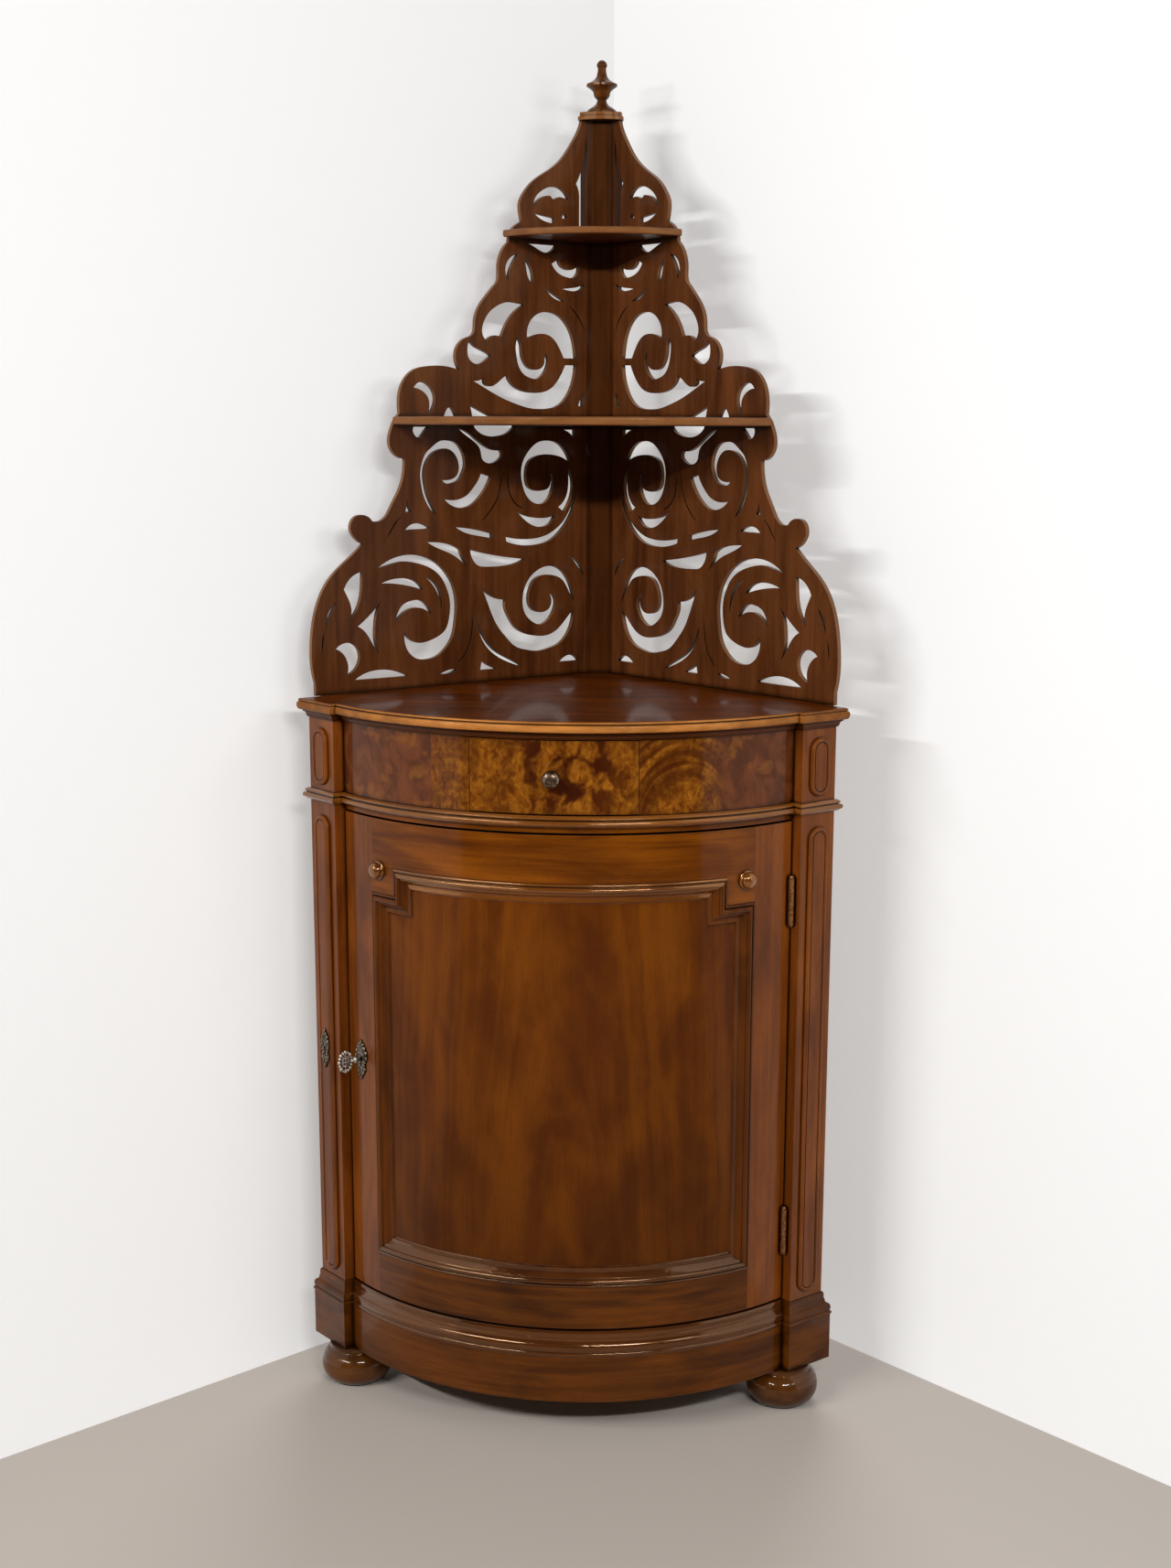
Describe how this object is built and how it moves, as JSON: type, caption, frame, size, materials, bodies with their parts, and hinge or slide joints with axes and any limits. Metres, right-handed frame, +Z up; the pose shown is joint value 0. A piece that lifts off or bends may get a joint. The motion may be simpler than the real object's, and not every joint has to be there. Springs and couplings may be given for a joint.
{
  "type": "corner cabinet",
  "caption": "Bow-fronted walnut corner cabinet with a drawer over a panelled door, canted pilasters, bun feet and a pierced scrollwork shelf stand with a turned finial.",
  "frame": {"origin": "on the floor, under the middle of the object's width and depth", "axes": "+Z up, -Y towards the user, +X to the user's right; the wall corner is at +Y"},
  "size_m": [0.7664, 0.607, 1.8975],
  "materials": {
    "polished_walnut": "french-polished walnut",
    "burl_veneer": "french-polished burl veneer",
    "figured_veneer": "french-polished veneer",
    "plain_softwood": "bare aged softwood",
    "aged_brass": "dull aged brass",
    "lock_iron": "dark worn iron",
    "dark_metal": "dark patinated metal"
  },
  "bodies": {
    "carcass": {"left_pilaster": "polished_walnut", "right_pilaster": "polished_walnut", "left_plinth_block": "polished_walnut", "right_plinth_block": "polished_walnut", "plinth_bow": "polished_walnut", "plinth_moulding": "polished_walnut", "waist_rail": "polished_walnut", "waist_moulding": "polished_walnut", "cornice_moulding": "polished_walnut", "top_board": "polished_walnut", "left_front_foot": "polished_walnut", "right_front_foot": "polished_walnut", "rear_foot": "polished_walnut", "left_fret_panel": "polished_walnut", "right_fret_panel": "polished_walnut", "corner_post": "polished_walnut", "middle_shelf": "polished_walnut", "upper_shelf": "polished_walnut", "cap": "polished_walnut", "finial": "polished_walnut", "left_frieze_panel": "burl_veneer", "right_frieze_panel": "burl_veneer", "left_back_board": "plain_softwood", "right_back_board": "plain_softwood", "rear_corner_stile": "plain_softwood", "bottom_board": "plain_softwood", "inner_shelf": "plain_softwood", "shelf_battens": "plain_softwood", "dust_board": "plain_softwood", "left_drawer_runner": "plain_softwood", "right_drawer_runner": "plain_softwood", "panel_dowels": "plain_softwood", "hinge_frame_leaves": "aged_brass", "hinge_pins": "aged_brass", "pilaster_escutcheon": "aged_brass", "strike_plate": "lock_iron", "shelf_screws": "lock_iron"},
    "door": {"door_lock_stile": "polished_walnut", "door_hinge_stile": "polished_walnut", "door_top_rail": "polished_walnut", "door_bottom_rail": "polished_walnut", "door_panel": "figured_veneer", "panel_moulding_bottom": "polished_walnut", "panel_moulding_right": "polished_walnut", "panel_moulding_top": "polished_walnut", "panel_moulding_left": "polished_walnut", "door_bosses": "polished_walnut", "lock_case": "lock_iron", "door_escutcheon": "aged_brass", "hinge_door_leaves": "aged_brass"},
    "drawer": {"drawer_front": "burl_veneer", "drawer_left_side": "plain_softwood", "drawer_right_side": "plain_softwood", "drawer_back": "plain_softwood", "drawer_bottom": "plain_softwood", "drawer_knob": "dark_metal"},
    "key": {"key": "dark_metal"},
    "bolt": {"lock_bolt": "lock_iron"}
  },
  "joints": [
    {"name": "door_hinge", "type": "hinge", "parent": "carcass", "child": "door", "pos_m": [0.30974, -0.14328, 0.5075], "axis": [0, 0, 1], "range_deg": [0, 110]},
    {"name": "drawer_slide", "type": "slide", "parent": "carcass", "child": "drawer", "axis": [0, -1, 0], "range_m": [0, 0.25]},
    {"name": "key_turn", "type": "hinge", "parent": "door", "child": "key", "pos_m": [-0.28657, -0.16126, 0.5015], "axis": [0.7071, 0.7071, 0], "range_deg": [0, 60]},
    {"name": "bolt_slide", "type": "slide", "parent": "door", "child": "bolt", "axis": [-0.7071, 0.7071, 0], "range_m": [0, 0.00867]}
  ],
  "couplings": [
    {"joint": "bolt_slide", "follows": "key_turn", "m_per_rad": 0.00827}
  ]
}
